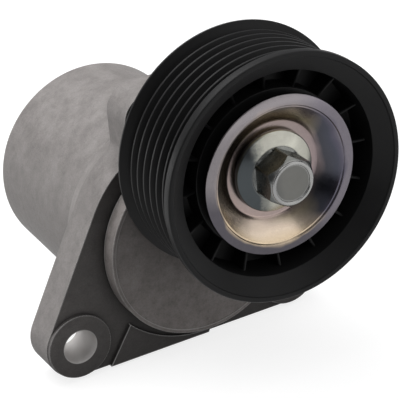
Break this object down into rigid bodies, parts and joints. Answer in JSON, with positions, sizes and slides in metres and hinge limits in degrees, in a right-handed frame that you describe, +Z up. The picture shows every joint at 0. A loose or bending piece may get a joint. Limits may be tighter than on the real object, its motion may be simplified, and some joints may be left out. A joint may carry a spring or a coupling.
{
  "type": "belt tensioner idler",
  "caption": "Automatic belt tensioner: cast spring housing with a mounting flange, sprung arm and a ribbed idler pulley on a sealed ball bearing.",
  "frame": {"origin": "centre of the mounting bolt circle on the flange's mounting face", "axes": "-Y to the front along the pulley axis, +Z up, +X right seen from the front"},
  "size_m": [0.095, 0.1059, 0.0969],
  "materials": {
    "cast_housing": "as cast",
    "cast_arm": "as cast, machined edge",
    "pulley_plastic": "satin glass-filled nylon",
    "plated_sheet": "iridescent zinc passivated",
    "plated_bolt": "bright zinc plated",
    "bearing_steel": "ground",
    "cage_polymer": "matte",
    "seal_rubber": "matte",
    "spring_steel": "oil tempered",
    "wear_polymer": "filled wear polymer",
    "bushing_bronze": "sintered",
    "pivot_steel": "ground"
  },
  "bodies": {
    "housing": {"spring_housing": "cast_housing", "damping_sleeve": "wear_polymer", "torsion_spring": "spring_steel", "front_pivot_bushing": "bushing_bronze", "rear_pivot_bushing": "bushing_bronze", "front_thrust_washer": "wear_polymer", "rear_thrust_washer": "wear_polymer"},
    "arm": {"tensioner_arm": "cast_arm", "spring_seat": "wear_polymer", "pivot_shaft": "pivot_steel", "retaining_plate": "pivot_steel", "shaft_retaining_ring": "pivot_steel", "front_dust_shield": "plated_sheet", "rear_dust_shield": "plated_sheet", "bearing_inner_ring": "bearing_steel", "pulley_bolt": "plated_bolt"},
    "pulley_body": {"pulley": "pulley_plastic", "bearing_outer_ring": "bearing_steel", "front_bearing_seal": "seal_rubber", "rear_bearing_seal": "seal_rubber"},
    "cage_body": {"bearing_cage": "cage_polymer", "bearing_balls": "bearing_steel"}
  },
  "joints": [
    {"name": "arm_pivot", "type": "hinge", "parent": "housing", "child": "arm", "pos_m": [0.0049, 0, 0.003], "axis": [0, 1, 0], "range_deg": [0, 45], "stiffness_Nm_per_rad": 5.6, "springref_deg": -45.84, "deforming": ["torsion_spring"]},
    {"name": "pulley_spin", "type": "hinge", "parent": "arm", "child": "pulley_body", "pos_m": [0.01567, -0.0332, 0.03121], "axis": [0, 1, 0], "continuous": true},
    {"name": "cage_spin", "type": "hinge", "parent": "arm", "child": "cage_body", "pos_m": [0.01567, -0.0332, 0.03121], "axis": [0, 1, 0], "continuous": true}
  ],
  "couplings": [
    {"joint": "cage_spin", "follows": "pulley_spin", "ratio": 0.6176}
  ]
}
